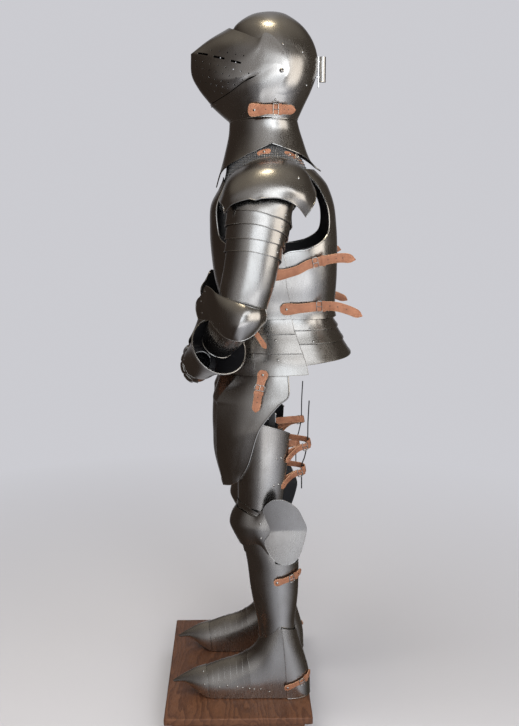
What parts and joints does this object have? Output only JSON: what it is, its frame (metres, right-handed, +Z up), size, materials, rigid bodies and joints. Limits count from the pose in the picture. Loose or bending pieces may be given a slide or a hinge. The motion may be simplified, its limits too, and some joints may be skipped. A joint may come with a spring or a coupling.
{
  "type": "suit of plate armour on display stand",
  "caption": "Full suit of polished plate armour with helmet, gauntlets, leg harness and pointed sabatons, standing on a wooden display base.",
  "frame": {"origin": "centre of the base's underside", "axes": "+Z up; the suit faces -Y; its left side is +X"},
  "size_m": [0.646, 0.5133, 1.875],
  "materials": {
    "plate_steel": "satin polished with a warm tint",
    "mail_steel": "dark riveted rings",
    "leather": "natural tan, lighter cut edges",
    "black_paint": "semi-matt black",
    "walnut": "dark stained and waxed"
  },
  "bodies": {
    "suit": {"skull": "plate_steel", "bevor": "plate_steel", "neck_front": "plate_steel", "neck_back": "plate_steel", "plume_tube": "plate_steel", "breastplate": "plate_steel", "backplate": "plate_steel", "fauld": "plate_steel", "culet": "plate_steel", "pauldron_left": "plate_steel", "shoulder_lames_left": "plate_steel", "rerebrace_left": "plate_steel", "couter_left": "plate_steel", "vambrace_left": "plate_steel", "gauntlet_cuff_left": "plate_steel", "gauntlet_hand_left": "plate_steel", "tasset_left": "plate_steel", "cuisse_left": "plate_steel", "poleyn_left": "plate_steel", "greave_front_left": "plate_steel", "greave_back_left": "plate_steel", "sabaton_left": "plate_steel", "heel_plate_left": "plate_steel", "pauldron_right": "plate_steel", "shoulder_lames_right": "plate_steel", "rerebrace_right": "plate_steel", "couter_right": "plate_steel", "vambrace_right": "plate_steel", "gauntlet_cuff_right": "plate_steel", "gauntlet_hand_right": "plate_steel", "tasset_right": "plate_steel", "cuisse_right": "plate_steel", "poleyn_right": "plate_steel", "greave_front_right": "plate_steel", "greave_back_right": "plate_steel", "sabaton_right": "plate_steel", "heel_plate_right": "plate_steel", "mail_mantle": "mail_steel", "helmet_strap_left": "leather", "shoulder_strap_left": "leather", "side_strap_upper_left": "leather", "side_strap_lower_left": "leather", "tasset_strap_left": "leather", "cuisse_strap_upper_left": "leather", "cuisse_strap_lower_left": "leather", "greave_strap_left": "leather", "helmet_strap_right": "leather", "shoulder_strap_right": "leather", "side_strap_upper_right": "leather", "side_strap_lower_right": "leather", "tasset_strap_right": "leather", "cuisse_strap_upper_right": "leather", "cuisse_strap_lower_right": "leather", "greave_strap_right": "leather", "tie_wire_left": "black_paint", "tie_wire_right": "black_paint", "stand_frame": "black_paint", "base_board": "walnut", "base_plinth": "walnut"},
    "visor": {"visor": "plate_steel"}
  },
  "joints": [
    {"name": "visor_hinge", "type": "hinge", "parent": "suit", "child": "visor", "pos_m": [0.02, 0.113, 1.72], "axis": [-1, 0, 0], "range_deg": [0, 60]}
  ]
}
